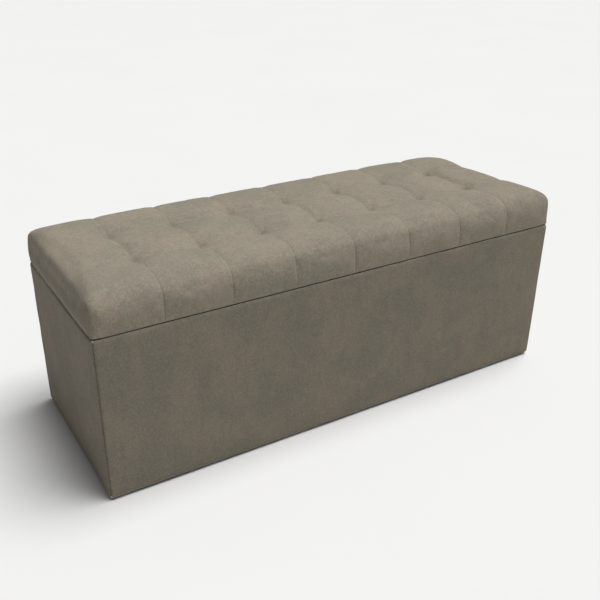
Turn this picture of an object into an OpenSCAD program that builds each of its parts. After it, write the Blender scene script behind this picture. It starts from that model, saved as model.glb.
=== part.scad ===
// Upholstered storage bench: a padded box with a biscuit-tufted lid, hinged along the back
// and held open by two slotted stays. Millimetres, +Z up, front towards -Y, standing on z = 0.

/* [Bench] */
// Length over the fabric
bench_w = 1200; // [700:10:1500]
// Depth over the fabric
bench_d = 450; // [360:10:600]
// Height of the box rim above the floor
rim_z = 376; // [300:1:480]
// Rounding of the upright corners
corner_r = 10; // [8:1:20]

/* [Boards] */
// Thickness of the four wall panels
panel_t = 15; // [9:1:22]
// Thickness of the base board
base_t = 9; // [4:1:18]
// Side of the square corner posts
post = 25; // [18:1:35]
// Height of the rails under the base board
rail_h = 25; // [18:1:40]
// Thickness of the rails under the base board
rail_t = 20; // [15:1:30]
// Height of the hinge rail inside the back panel
hinge_rail_h = 40; // [30:1:60]
// Thickness of the hinge rail
hinge_rail_t = 20; // [15:1:30]

/* [Upholstery] */
// Thickness of the outer fabric
fabric_t = 1.2; // [0.8:0.1:2]
// Thickness of the foam wrap on the box walls
pad_t = 5; // [3:0.5:8]
// Thickness of the lining cloth
lining_t = 0.8; // [0.5:0.1:1.5]
// Depth of the fabric turned down inside the rim
turn_h = 25; // [15:1:35]
// Overlap of a lining on the fabric it covers
lap = 10; // [6:1:15]
// Thickness of the dust cover
dust_t = 0.6; // [0.4:0.1:1.5]
// Inset of the dust cover from the outside
dust_in = 9; // [7:1:12]

/* [Lid] */
// Gap between the rim and the lid
lid_gap = 3; // [2.6:0.1:6]
// Height of the lid frame rails
lid_rail_h = 20; // [15:1:30]
// Width of the lid frame rails
lid_rail_w = 52; // [48:1:70]
// Thickness of the lid board
lid_board_t = 12; // [9:1:18]
// Thickness of the foam block
foam_t = 47; // [30:1:70]
// Thickness of the wadding over the foam
wadding_t = 6; // [3:0.5:10]
// Rounding of the lid's top edges
edge_r = 34; // [20:1:45]
// Width of the lid fabric turned under the frame
under_turn = 48; // [44:1:60]
// Inset of the lid lining from the outside
lid_lining_in = 40; // [38:1:50]

/* [Tufting] */
// Number of tufts along the length
tuft_columns = 7; // [3:1:9]
// Number of tufts across the depth
tuft_rows = 2; // [1:1:3]
// Depth of a tuft
tuft_depth = 20; // [10:1:25]
// Radius of a tuft at the lid's surface
tuft_mouth_r = 24; // [12:1:30]
// Radius of a tuft at its bottom
tuft_tip_r = 3; // [2:0.5:6]
// Radius of the twine
twine_r = 1; // [0.8:0.1:2]
// Radius of the hole for the twine in the board
twine_hole_r = 3; // [2:0.5:5]
// Radius of the anchor washers under the board
anchor_r = 11; // [8:1:16]
// Thickness of the anchor washers
anchor_t = 1.6; // [1:0.1:3]

/* [Hinges] */
// Number of hinges
hinge_count = 3; // [2:1:3]
// Distance from the bench's end to the middle of the end hinges
hinge_in = 170; // [100:5:250]
// Length of a hinge along its pin
hinge_len = 75; // [50:5:100]
// Width of a leaf in front of the back face
leaf_w = 34; // [28:1:38]
// Thickness of a leaf
leaf_t = 1.2; // [0.8:0.1:1.3]
// Outer radius of the knuckles
knuckle_r = 3.2; // [2.8:0.1:4]
// Radius of the hinge pin
pin_r = 1.6; // [1.2:0.1:1.8]
// Knuckles on one hinge
knuckles = 5; // [3:2:7]
// Gap between the back face and the knuckles
knuckle_gap = 0.6; // [0.4:0.1:2]

/* [Stays] */
// Angle to which the lid opens
open_angle = 85; // [70:1:90]
// Angle at the hinge between the two stay pivots with the lid closed
stay_spread = 20; // [16:1:30]
// Angle of the lid pivot below the hinge with the lid closed
stay_dip = 6.5; // [5:0.5:9]
// Distance kept between the stay's free end and the floor lining
stay_floor_gap = 30; // [15:1:60]
// Width of the stay arm
arm_w = 16; // [14:1:22]
// Thickness of the stay arm
arm_t = 2.5; // [2:0.1:4]
// Radius of the pivot rivet and of the stud in the slot
stud_r = 3; // [2:0.1:4]
// Thickness of the stay's plates
plate_t = 2; // [1.5:0.1:3]

/* [Fasteners and feet] */
// Number of glides along the length
glide_columns = 3; // [2:1:4]
// Height of a glide
glide_h = 5; // [3:0.5:12]
// Radius of a glide
glide_r = 12; // [8:0.5:13]
// Radius of a screw's shank
screw_r = 1.6; // [1.2:0.1:2]
// Radius of a countersunk head
head_r = 3.2; // [2.6:0.1:3.6]
// Radius of a rim buffer
buffer_r = 6; // [4:0.5:7]
// Length of a staple's crown
staple_w = 10; // [8:1:12]
// Thickness of a staple's wire
staple_t = 0.6; // [0.5:0.1:1]

/* [Hidden] */
$fn = 48;
eps = 1;                                  // how far a cut runs past the face it opens
fit = 0.05;                               // radial clearance of a pin in a knuckle
joint_gap = 0.4;                          // clearance between faces that slide past each other
slot_gap = 0.3;                           // radial clearance of the stud in the arm's slot

// The hinge barrel stands behind the back face, and the whole outline is centred on y = 0.
hinge_out = knuckle_gap + 2 * knuckle_r;
y_front = -(bench_d + hinge_out) / 2;
y_back = y_front + bench_d;
y_mid = (y_front + y_back) / 2;
x_end = bench_w / 2;

skin = fabric_t + pad_t;                  // outside face to the wall panels
wall = skin + panel_t;                    // outside face to the inner face of a panel
back_wall = wall + hinge_rail_t;          // the same at the hinge rail
board_z = glide_h + dust_t + fabric_t;    // underside of the panels and rails
board_top = rim_z - fabric_t;             // top edge of the panels
base_z = board_z + rail_h;                // underside of the base board
floor_z = base_z + base_t;                // top of the base board
floor_top = floor_z + lining_t;           // top of the floor lining
rail_bottom = board_top - hinge_rail_h;   // underside of the hinge rail
lining_top = rim_z - turn_h + lap;        // the lining laps over the turned fabric
staple_in = skin + panel_t / 2;           // staples go up into the middle of a panel's edge

lid_z = rim_z + lid_gap;                  // underside of the lid
frame_z = lid_z + fabric_t;               // underside of the lid frame
lid_board_z = frame_z + lid_rail_h;       // underside of the lid board
foam_z = lid_board_z + lid_board_t;       // underside of the foam
lid_skin = fabric_t + wadding_t;          // outside face to the foam and the frame
top_z = foam_z + foam_t + lid_skin;       // top of the lid
rail_inset = lid_skin + lid_rail_w;       // outside face to the inner face of a lid rail

column_pitch = bench_w / (tuft_columns + 1);
row_pitch = bench_d / (tuft_rows + 1);
tuft_x = [for (i = [1:tuft_columns]) -x_end + i * column_pitch];
tuft_y = [for (j = [1:tuft_rows]) y_front + j * row_pitch];
tuft_z = top_z - tuft_depth;              // bottom of a tuft
cross_rail_x = 1.5 * column_pitch;        // the lid's cross rails lie between tuft columns
cross_rail_w = 45;

// Hinge line.
axis_y = y_back + knuckle_gap + knuckle_r;
axis_z = rim_z + lid_gap / 2;
hinge_x = [for (i = [0:hinge_count - 1])
    -x_end + hinge_in + i * (bench_w - 2 * hinge_in) / (hinge_count - 1)];
knuckle_len = hinge_len / knuckles;
screw_rows = [skin + panel_t / 2, wall + hinge_rail_t / 3];   // into the panel and into the hinge rail
screw_x = hinge_len / 2 - 12;
hinge_screw_l = 18;
plate_screw_l = 12;
head_h = head_r - screw_r;                // a 90 degree countersink

// Stays. Both pivots lie at the same distance from the hinge line, so an arm always turns by
// exactly half the lid's angle and its straight slot stays in line with the stud.
arm_end = arm_w / 2 + 1;                  // from the last stud position to the arm's tip
arm_tilt = stay_dip + stay_spread / 2;    // the closed arm's lean from upright
reach_open = 2 * sin((stay_spread + open_angle) / 2);   // in stay radii
reach_closed = 2 * sin(stay_spread / 2);
stay_radius = (axis_z - floor_top - stay_floor_gap - arm_end * cos(arm_tilt))
    / (sin(stay_dip) + reach_open * cos(arm_tilt));
slot_start = reach_closed * stay_radius;
slot_end = reach_open * stay_radius;
lid_pivot = [axis_y - stay_radius * cos(stay_dip), axis_z - stay_radius * sin(stay_dip)];
box_pivot = [axis_y - stay_radius * cos(stay_dip + stay_spread),
             axis_z - stay_radius * sin(stay_dip + stay_spread)];
stand_off = 2.5;                          // between the box plate and the arm
side_face = x_end - wall - fabric_t - lining_t;         // inner face of the side lining
plate_x = side_face - plate_t;            // inner face of the box plate
arm_x = plate_x - stand_off - arm_t;      // inner face of the arm
ear_x = arm_x - joint_gap - plate_t;      // inner face of the lid plate's ear
rivet_head_r = stud_r + 2.5;
rivet_head_t = 1.5;
ear_w = 20;                               // width of the lid plate's ear
flange_w = 26;                            // the lid plate's flange, across the lid
flange_l = 60;                            // the same, along the side
box_plate_w = 22;
box_plate_h = 56;

sides = ["left", "right"];
ends = ["front", "back"];
hinge_names = [for (i = [1:hinge_count]) str("hinge_", i)];

// ---- Shared shapes ----

// A cuboid from its lowest to its highest corner.
module block(low, high) {
    translate(low) cube(high - low);
}

// Its children on the left, or mirrored to the right.
module on_side(side) {
    if (side == "left") children(); else mirror([1, 0, 0]) children();
}

// A flat rectangle with rounded corners, at an inset from the bench's outline.
module outline(inset, r) {
    w = bench_w - 2 * inset;
    d = bench_d - 2 * inset;
    translate([0, y_mid]) {
        square([w - 2 * r, d], center = true);
        square([w, d - 2 * r], center = true);
        for (sx = [-1, 1], sy = [-1, 1])
            translate([sx * (w / 2 - r), sy * (d / 2 - r)]) circle(r);
    }
}

// The box's outer form at an inset, between two heights.
module box_form(inset, z0, z1) {
    translate([0, 0, z0]) linear_extrude(z1 - z0) outline(inset, max(corner_r - inset, 1));
}

// The same with square corners.
module square_form(inset, z0, z1) {
    block([-x_end + inset, y_front + inset, z0], [x_end - inset, y_back - inset, z1]);
}

// A screw pointing down from its head's flat face at z = 0.
module screw(length) {
    rotate([180, 0, 0]) {
        cylinder(h = head_h, r1 = head_r, r2 = screw_r);
        cylinder(h = length - 2, r = screw_r);
        translate([0, 0, length - 2]) cylinder(h = 2, r1 = screw_r, r2 = 0.3);
    }
}

// The hole that such a screw needs through a plate with its top face at z = 0.
module screw_hole(thickness) {
    clear = 0.15;
    translate([0, 0, -thickness - eps]) cylinder(h = thickness + 2 * eps, r = screw_r + clear);
    translate([0, 0, -head_h]) cylinder(h = head_h + clear, r1 = screw_r + clear, r2 = head_r + 2 * clear);
}

// A wire staple with its crown below z = 0 and its legs driven upwards, crown along X.
module staple(leg) {
    block([-staple_w / 2, -staple_t, -staple_t], [staple_w / 2, staple_t, 0]);
    for (s = [-1, 1])
        translate([s * (staple_w - staple_t) / 2, 0, -staple_t])
            block([-staple_t / 2, -staple_t, 0], [staple_t / 2, staple_t, leg]);
}

// Staples round a rectangle at an inset from the outline. On the short sides they keep clear of
// the stretch [from, to] of Y.
module staple_round(inset, pitch, z, from = 0, to = 0) {
    leg = 7;
    w = bench_w - 2 * inset;
    d = bench_d - 2 * inset;
    nx = floor(w / pitch);
    ny = floor(d / pitch);
    for (i = [0:nx - 1], y = [y_mid - d / 2, y_mid + d / 2])
        translate([-w / 2 + (i + 0.5) * w / nx, y, z]) staple(leg);
    for (j = [0:ny - 1], s = [-1, 1]) {
        y = y_mid - d / 2 + (j + 0.5) * d / ny;
        if (y + staple_w < from || y - staple_w > to)
            translate([s * w / 2, y, z]) rotate([0, 0, 90]) staple(leg);
    }
}

// ---- Box: boards and rails ----

module front_panel() {
    color("burlywood")
        block([-x_end + skin, y_front + skin, board_z], [x_end - skin, y_front + wall, board_top]);
}

module back_panel() {
    color("burlywood")
        block([-x_end + skin, y_back - wall, board_z], [x_end - skin, y_back - skin, board_top]);
}

module side_panel(side) {
    color("burlywood") on_side(side)
        block([-x_end + skin, y_front + wall, board_z], [-x_end + wall, y_back - wall, board_top]);
}

// A post grown by g. The front posts end where the turned fabric does, the back ones under the
// hinge rail.
module post_form(end, side, g = 0) {
    y0 = end == "front" ? y_front + wall : y_back - wall - post;
    z1 = end == "front" ? rim_z - turn_h : rail_bottom;
    on_side(side)
        block([-x_end + wall - g, y0 - g, board_z - g], [-x_end + wall + post + g, y0 + post + g, z1 + g]);
}

module corner_post(end, side) {
    color("wheat") post_form(end, side);
}

// The base board lies on the rails, notched round the posts.
module base_board() {
    notch_gap = 0.5;
    color("tan") difference() {
        block([-x_end + wall, y_front + wall, base_z], [x_end - wall, y_back - wall, floor_z]);
        for (e = ends, s = sides) post_form(e, s, notch_gap);
    }
}

module bottom_rail(end) {
    y0 = end == "front" ? y_front + wall : y_back - wall - rail_t;
    color("wheat")
        block([-x_end + wall + post, y0, board_z], [x_end - wall - post, y0 + rail_t, base_z]);
}

module side_bottom_rail(side) {
    color("wheat") on_side(side)
        block([-x_end + wall, y_front + wall + post, board_z],
              [-x_end + wall + rail_t, y_back - wall - post, base_z]);
}

module centre_bearer() {
    color("wheat")
        block([-rail_t, y_front + wall + rail_t, board_z], [rail_t, y_back - wall - rail_t, base_z]);
}

// The hinge rail gives the hinge screws solid wood along the inside of the back panel.
module hinge_rail_form(g = 0) {
    block([-x_end + wall - g, y_back - back_wall - g, rail_bottom - g],
          [x_end - wall + g, y_back - wall + g, board_top + g]);
}

module hinge_rail() {
    color("wheat") hinge_rail_form();
}

// ---- Box: upholstery ----

// The foam wrap goes once round the outside of the panels.
module wall_padding() {
    color("whitesmoke") difference() {
        box_form(fabric_t, board_z, board_top);
        square_form(skin, board_z - eps, board_top + eps);
    }
}

// All four covers together: outer face, turn over the rim, turn down inside, turn underneath.
module cover_ring() {
    under_z = board_z - fabric_t;
    difference() {
        box_form(0, under_z, rim_z);
        box_form(fabric_t, board_z, board_top);
        block([-x_end + wall, y_front + wall, under_z - eps],
              [x_end - wall, y_back - wall, board_z + eps]);
        block([-x_end + wall, y_front + wall, board_top - eps],
              [x_end - wall, y_back - back_wall, rim_z + eps]);
    }
    difference() {
        block([-x_end + wall, y_front + wall, rim_z - turn_h], [x_end - wall, y_back - back_wall, rim_z]);
        block([-x_end + wall + fabric_t, y_front + wall + fabric_t, rim_z - turn_h - eps],
              [x_end - wall - fabric_t, y_back - back_wall - fabric_t, rim_z + eps]);
    }
}

// The covers meet in a seam at each upright corner, mitred at 45 degrees.
module cover(points) {
    color("gray") intersection() {
        cover_ring();
        translate([0, 0, -eps]) linear_extrude(rim_z + 2 * eps) polygon(points);
    }
}

module long_cover(y_out) {
    half = bench_d / 2;
    cover([[-x_end, y_out], [x_end, y_out], [x_end - half, y_mid], [-x_end + half, y_mid]]);
}

module end_cover(side) {
    on_side(side)
        cover([[-x_end, y_front], [-x_end, y_back], [-x_end + bench_d / 2, y_mid]]);
}

// The storage space inside the posts and the hinge rail, taken in by t all round. It runs past
// its lowest and highest edges by run.
module cavity(t, run = 0) {
    off = fabric_t + t;
    difference() {
        square_form(wall + off, floor_z - run, lining_top + run);
        for (e = ends, s = sides) post_form(e, s, off);
        hinge_rail_form(off);
    }
}

module side_lining() {
    color("dimgray") difference() {
        cavity(0);
        cavity(lining_t, eps);
    }
}

module floor_lining() {
    color("dimgray") intersection() {
        cavity(lining_t, eps);
        square_form(wall, floor_z, floor_top);
    }
}

module dust_cover() {
    color("black")
        square_form(dust_in, glide_h, glide_h + dust_t);
}

module underside_staples() {
    color("silver") staple_round(staple_in, 60, glide_h);
}

// Nylon glides with a nail into the rails.
module glides() {
    nail_r = 1.2;
    nail_l = 14;
    x_in = wall + rail_t / 2;
    color("ivory")
        for (i = [0:glide_columns - 1], y = [y_front + wall + rail_t / 2, y_back - wall - rail_t / 2])
            translate([-x_end + x_in + post + i * (bench_w - 2 * (x_in + post)) / (glide_columns - 1),
                       y, 0]) {
                cylinder(h = 1.5, r1 = glide_r - 1.5, r2 = glide_r);
                translate([0, 0, 1.5]) cylinder(h = glide_h - 1.5, r = glide_r);
                cylinder(h = glide_h + nail_l, r = nail_r);
            }
}

// Rubber buffers on the rim keep the gap under the lid.
module rim_buffers() {
    clear = 0.2;
    h = lid_gap - clear;
    color("black")
        for (s = [-1, 1], p = [[x_end - 60, y_front + wall / 2], [x_end - wall / 2, y_mid]])
            translate([s * p[0], p[1], rim_z]) {
                cylinder(h = h - 0.8, r = buffer_r);
                translate([0, 0, h - 0.8]) cylinder(h = 0.8, r1 = buffer_r, r2 = buffer_r - 1.2);
            }
}

// ---- Hinges ----

// One leaf at the hinge's middle; up is 1 for the lid's leaf and -1 for the box's.
module hinge_leaf(up) {
    own = up > 0 ? 1 : 0;
    side_gap = 0.2;
    leaf_edge = -knuckle_r - 0.4;
    rotate([up > 0 ? 0 : 180, 0, 0]) mirror([0, up > 0 ? 0 : 1, 0]) difference() {
        union() {
            block([-hinge_len / 2, -leaf_w - knuckle_r - knuckle_gap, lid_gap / 2 - leaf_t],
                  [hinge_len / 2, leaf_edge, lid_gap / 2]);
            for (k = [own:2:knuckles - 1]) {
                x0 = -hinge_len / 2 + k * knuckle_len + (k > 0 ? side_gap : 0);
                x1 = -hinge_len / 2 + (k + 1) * knuckle_len - (k < knuckles - 1 ? side_gap : 0);
                block([x0, leaf_edge - eps, lid_gap / 2 - leaf_t], [x1, 0, lid_gap / 2]);
                translate([x0, 0, 0]) rotate([0, 90, 0]) cylinder(h = x1 - x0, r = knuckle_r);
            }
        }
        translate([-hinge_len / 2 - eps, 0, 0]) rotate([0, 90, 0])
            cylinder(h = hinge_len + 2 * eps, r = pin_r + fit);
        leaf_screws(up) rotate([180, 0, 0]) screw_hole(leaf_t);
    }
}

// The four screw places of one leaf, at its face towards the other leaf.
module leaf_screws(up) {
    for (s = [-1, 1], r = [0, 1])
        translate([s * (screw_x - r * 12), -knuckle_r - knuckle_gap - screw_rows[r], lid_gap / 2 - leaf_t])
            children();
}

module at_hinge(i) {
    translate([hinge_x[i], axis_y, axis_z]) children();
}

module hinge_box_leaf(i) {
    color("silver") at_hinge(i) hinge_leaf(-1);
}

module hinge_lid_leaf(i) {
    color("silver") at_hinge(i) hinge_leaf(1);
}

module hinge_pins() {
    head = 0.8;
    color("gainsboro") for (i = [0:hinge_count - 1]) at_hinge(i)
        translate([-hinge_len / 2 - head, 0, 0]) rotate([0, 90, 0]) {
            cylinder(h = head - joint_gap / 2, r = knuckle_r - 0.4);
            cylinder(h = hinge_len + head, r = pin_r);
        }
}

module hinge_box_screws() {
    color("gray") for (i = [0:hinge_count - 1]) at_hinge(i)
        mirror([0, 0, 1]) leaf_screws(-1) rotate([180, 0, 0]) screw(hinge_screw_l);
}

module hinge_lid_screws() {
    color("gray") for (i = [0:hinge_count - 1]) at_hinge(i)
        leaf_screws(1) rotate([180, 0, 0]) screw(hinge_screw_l);
}

// ---- Lid: boards ----

// The lid's outer form at an inset: rounded along its length, along its depth and at its corners.
module lid_form(inset, z0) {
    r = edge_r - inset;
    z1 = top_z - inset;
    intersection() {
        translate([-x_end, 0, 0]) rotate([90, 0, 90]) linear_extrude(bench_w)
            arch(y_front + inset, y_back - inset, z0, z1, r);
        translate([0, y_back, 0]) rotate([90, 0, 0]) linear_extrude(bench_d)
            arch(-x_end + inset, x_end - inset, z0, z1, r);
        translate([0, 0, z0]) linear_extrude(z1 - z0) outline(inset, max(corner_r - inset, 1));
    }
}

// A rectangle with its two upper corners rounded.
module arch(low, high, z0, z1, r) {
    translate([low, z0]) square([high - low, z1 - r - z0]);
    translate([low + r, z0]) square([high - low - 2 * r, z1 - z0]);
    for (x = [low + r, high - r]) translate([x, z1 - r]) circle(r);
}

module lid_board() {
    color("tan") difference() {
        block([-x_end + lid_skin, y_front + lid_skin, lid_board_z],
              [x_end - lid_skin, y_back - lid_skin, foam_z]);
        at_tufts() translate([0, 0, lid_board_z - eps]) cylinder(h = lid_board_t + 2 * eps, r = twine_hole_r);
    }
}

module lid_rail(low, high) {
    color("wheat") block([low[0], low[1], frame_z], [high[0], high[1], lid_board_z]);
}

module lid_long_rail(end) {
    y0 = end == "front" ? y_front + lid_skin : y_back - rail_inset;
    lid_rail([-x_end + lid_skin, y0], [x_end - lid_skin, y0 + lid_rail_w]);
}

module lid_end_rail(side) {
    on_side(side)
        lid_rail([-x_end + lid_skin, y_front + rail_inset], [-x_end + rail_inset, y_back - rail_inset]);
}

module lid_cross_rail(side) {
    on_side(side)
        lid_rail([-cross_rail_x - cross_rail_w / 2, y_front + rail_inset],
                 [-cross_rail_x + cross_rail_w / 2, y_back - rail_inset]);
}

// ---- Lid: upholstery ----

module at_tufts() {
    for (x = tuft_x, y = tuft_y) translate([x, y, 0]) children();
}

// The hollows that the twine pulls into the top, grown by g.
module tufts(g) {
    at_tufts() translate([0, 0, tuft_z - g])
        cylinder(h = tuft_depth + g + eps, r1 = tuft_tip_r + g, r2 = tuft_mouth_r + g + eps);
}

module padded_form(inset, z0) {
    difference() {
        lid_form(inset, z0);
        tufts(inset);
    }
}

module lid_cover() {
    color("gray") difference() {
        padded_form(0, lid_z);
        padded_form(fabric_t, frame_z);
        square_form(under_turn, lid_z - eps, frame_z + eps);
    }
}

module lid_wadding() {
    color("white") difference() {
        padded_form(fabric_t, frame_z);
        padded_form(lid_skin, foam_z - eps);
        square_form(lid_skin, frame_z - eps, foam_z);
    }
}

module lid_foam() {
    color("lightyellow") difference() {
        padded_form(lid_skin, foam_z);
        at_tufts() translate([0, 0, foam_z - eps]) cylinder(h = foam_t, r = twine_hole_r);
    }
}

module lid_lining() {
    color("dimgray") square_form(lid_lining_in, lid_z - lining_t, lid_z);
}

module lid_staples() {
    color("silver") staple_round(lid_lining_in + 5, 90, lid_z - lining_t,
                                 lid_pivot[0] - flange_l / 2, lid_pivot[0] + flange_l / 2);
}

// Twine from the bottom of each tuft to its anchor under the board.
module tuft_twines() {
    color("beige") at_tufts() translate([0, 0, lid_board_z - anchor_t])
        cylinder(h = tuft_z - fabric_t - lid_board_z + anchor_t, r = twine_r);
}

module tuft_anchors() {
    color("silver") at_tufts() translate([0, 0, lid_board_z - anchor_t]) difference() {
        cylinder(h = anchor_t, r = anchor_r);
        translate([0, 0, -eps]) cylinder(h = anchor_t + 2 * eps, r = twine_r + 0.2);
    }
}

// ---- Stays ----

// Its children in the plane of the stays, X along the arm from the lid pivot, Z towards the middle.
module in_stay_plane(x, pivot, turn = 0) {
    translate([-x, pivot[0], pivot[1]]) rotate([turn, 0, 0]) children();
}

module disc(x0, x1, r) {
    translate([-x1, 0, 0]) rotate([0, 90, 0]) cylinder(h = x1 - x0, r = r);
}

// A flat bar with round ends between two distances down from the pivot.
module bar(x0, x1, from, to, r) {
    block([-x1, -r, -to], [-x0, r, -from]);
    for (d = [from, to]) translate([0, 0, -d]) disc(x0, x1, r);
}

// The arm hangs from its pivot on the lid plate and leans back by arm_tilt when closed.
module stay_arm(side) {
    color("silver") on_side(side) in_stay_plane(0, lid_pivot, arm_tilt) difference() {
        bar(arm_x, arm_x + arm_t, 0, slot_end, arm_w / 2);
        disc(arm_x - eps, arm_x + arm_t + eps, stud_r + fit);
        bar(arm_x - eps, arm_x + arm_t + eps, slot_start, slot_end + 0.2, stud_r + slot_gap);
    }
}

module stay_box_plate(side) {
    color("silver") on_side(side) in_stay_plane(0, box_pivot) difference() {
        block([-side_face, -box_plate_w / 2, -box_plate_h / 2], [-plate_x, box_plate_w / 2, box_plate_h / 2]);
        disc(plate_x - eps, side_face + eps, stud_r);
        box_plate_screws() screw_hole(plate_t);
    }
}

module box_plate_screws() {
    for (s = [-1, 1])
        translate([-plate_x, 0, s * (box_plate_h / 2 - 9)]) rotate([0, 90, 0]) children();
}

// A shouldered stud riveted in the box plate; its head keeps the arm on.
module stay_studs() {
    color("gainsboro") for (s = sides) on_side(s) in_stay_plane(0, box_pivot) {
        disc(arm_x - joint_gap, side_face, stud_r);
        disc(arm_x + arm_t + joint_gap, plate_x, rivet_head_r);
        disc(arm_x - joint_gap - rivet_head_t, arm_x - joint_gap, rivet_head_r);
    }
}

// An angle screwed under the lid's side rail, with an ear beside the arm.
module stay_lid_plate(side) {
    drop = lid_z - lining_t - lid_pivot[1];
    color("silver") on_side(side) in_stay_plane(0, lid_pivot) difference() {
        union() {
            block([-ear_x - plate_t, -flange_l / 2, drop - plate_t], [-ear_x + flange_w, flange_l / 2, drop]);
            block([-ear_x - plate_t, -ear_w / 2, 0], [-ear_x, ear_w / 2, drop]);
            disc(ear_x, ear_x + plate_t, ear_w / 2);
        }
        disc(ear_x - eps, ear_x + plate_t + eps, stud_r);
        lid_plate_screws(drop) rotate([180, 0, 0]) screw_hole(plate_t);
        // The ear stays under the lining.
        block([-ear_x - plate_t - eps, -ear_w, drop], [-ear_x + eps, ear_w, drop + ear_w]);
    }
}

module lid_plate_screws(drop) {
    for (s = [-1, 1])
        translate([-ear_x + flange_w / 2, s * (flange_l / 2 - 9), drop - plate_t]) children();
}

module stay_rivets() {
    color("gainsboro") for (s = sides) on_side(s) in_stay_plane(0, lid_pivot) {
        disc(ear_x, arm_x + arm_t + joint_gap, stud_r);
        disc(arm_x + arm_t + joint_gap, arm_x + arm_t + joint_gap + rivet_head_t, rivet_head_r);
        disc(ear_x - rivet_head_t, ear_x, rivet_head_r);
    }
}

module stay_box_screws() {
    color("gray") for (s = sides) on_side(s) in_stay_plane(0, box_pivot)
        box_plate_screws() screw(plate_screw_l);
}

module stay_lid_screws() {
    drop = lid_z - lining_t - lid_pivot[1];
    color("gray") for (s = sides) on_side(s) in_stay_plane(0, lid_pivot)
        lid_plate_screws(drop) rotate([180, 0, 0]) screw(plate_screw_l);
}

// ---- Nodes ----

front_panel();
back_panel();
for (s = sides) side_panel(s);
base_board();
for (e = ends) bottom_rail(e);
for (s = sides) side_bottom_rail(s);
centre_bearer();
hinge_rail();
for (e = ends, s = sides) corner_post(e, s);
wall_padding();
long_cover(y_front);  // front_cover
long_cover(y_back);  // back_cover
for (s = sides) end_cover(s);
side_lining();
floor_lining();
dust_cover();
underside_staples();
glides();
rim_buffers();
for (i = [0:hinge_count - 1])
    hinge_box_leaf(i);
for (i = [0:hinge_count - 1])
    hinge_lid_leaf(i);
hinge_pins();
hinge_box_screws();
hinge_lid_screws();
lid_board();
for (e = ends) lid_long_rail(e);
for (s = sides) lid_end_rail(s);
for (s = sides) lid_cross_rail(s);
lid_foam();
lid_wadding();
lid_cover();
lid_lining();
lid_staples();
tuft_twines();
tuft_anchors();
for (s = sides) stay_arm(s);
for (s = sides) stay_box_plate(s);
for (s = sides) stay_lid_plate(s);
stay_studs();
stay_rivets();
stay_box_screws();
stay_lid_screws();
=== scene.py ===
"""Looks of an upholstered storage bench with a biscuit-tufted lid on back hinges and two stays."""
from math import cos, pi, radians, sin

import bpy
import numpy as np
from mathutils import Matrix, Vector, noise


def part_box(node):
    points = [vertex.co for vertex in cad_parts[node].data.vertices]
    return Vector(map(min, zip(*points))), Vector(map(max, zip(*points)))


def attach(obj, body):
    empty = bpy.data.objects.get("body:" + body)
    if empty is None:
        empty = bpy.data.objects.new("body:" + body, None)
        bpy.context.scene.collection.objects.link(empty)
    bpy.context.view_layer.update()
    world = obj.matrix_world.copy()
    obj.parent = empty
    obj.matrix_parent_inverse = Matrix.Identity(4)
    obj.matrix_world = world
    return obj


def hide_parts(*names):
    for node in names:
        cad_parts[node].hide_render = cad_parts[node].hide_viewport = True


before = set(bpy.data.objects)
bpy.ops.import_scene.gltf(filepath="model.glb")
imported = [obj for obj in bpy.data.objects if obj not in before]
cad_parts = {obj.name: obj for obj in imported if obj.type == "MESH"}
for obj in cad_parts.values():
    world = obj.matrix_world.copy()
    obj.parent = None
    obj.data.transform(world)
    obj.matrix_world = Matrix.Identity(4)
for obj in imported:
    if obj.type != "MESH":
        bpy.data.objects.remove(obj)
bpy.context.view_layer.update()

mm = 0.001

# ---- Studio ----
# A standing viewer's camera in front of the left end, a pale floor, one broad soft light from
# above, to the right and a little to the front, and a sky that is dimmer on the left.
bpy.ops.object.camera_add(location=(-0.927, -1.457, 1.057),
                          rotation=(radians(64.08), radians(0.64), radians(-29.65)))
camera = bpy.context.object
camera.data.lens = 45.7
camera.data.shift_x = 0.063
bpy.context.scene.camera = camera

bpy.ops.mesh.primitive_plane_add(size=60)
floor = bpy.context.object
floor.name = "studio_floor"

bpy.ops.object.light_add(type="SUN", rotation=(radians(6), radians(17), 0))
overhead = bpy.context.object
overhead.data.energy = 3.4
overhead.data.angle = radians(36)
bpy.context.scene.view_settings.view_transform = "Standard"


class Value:
    """A number that varies over a surface. Arithmetic on it adds Math nodes."""

    def __init__(self, nodes, socket):
        self.nodes, self.socket = nodes, socket

    def math(self, operation, *terms):
        return self.nodes.node("ShaderNodeMath", {"operation": operation}, dict(enumerate(terms)))

    def __add__(self, other):
        return self.math("ADD", self, other)

    def __radd__(self, other):
        return self.math("ADD", other, self)

    def __sub__(self, other):
        return self.math("SUBTRACT", self, other)

    def __rsub__(self, other):
        return self.math("SUBTRACT", other, self)

    def __mul__(self, other):
        return self.math("MULTIPLY", self, other)

    def __rmul__(self, other):
        return self.math("MULTIPLY", other, self)

    def wave(self):
        return self.math("SINE", self)

    def ramp(self, low, high):
        """0 below low and 1 above high, smooth between them."""
        return self.nodes.node("ShaderNodeMapRange", {"interpolation_type": "SMOOTHSTEP"},
                               {"Value": self, "From Min": low, "From Max": high})


class Nodes:
    """A node tree that is built by calls."""

    def __init__(self, tree):
        self.tree = tree

    def node(self, kind, settings=None, inputs=None, output=0):
        made = self.tree.nodes.new(kind)
        for key, value in (settings or {}).items():
            setattr(made, key, value)
        for key, value in (inputs or {}).items():
            if isinstance(value, Value):
                self.tree.links.new(value.socket, made.inputs[key])
            else:
                made.inputs[key].default_value = value
        return Value(self, made.outputs[output])


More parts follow.
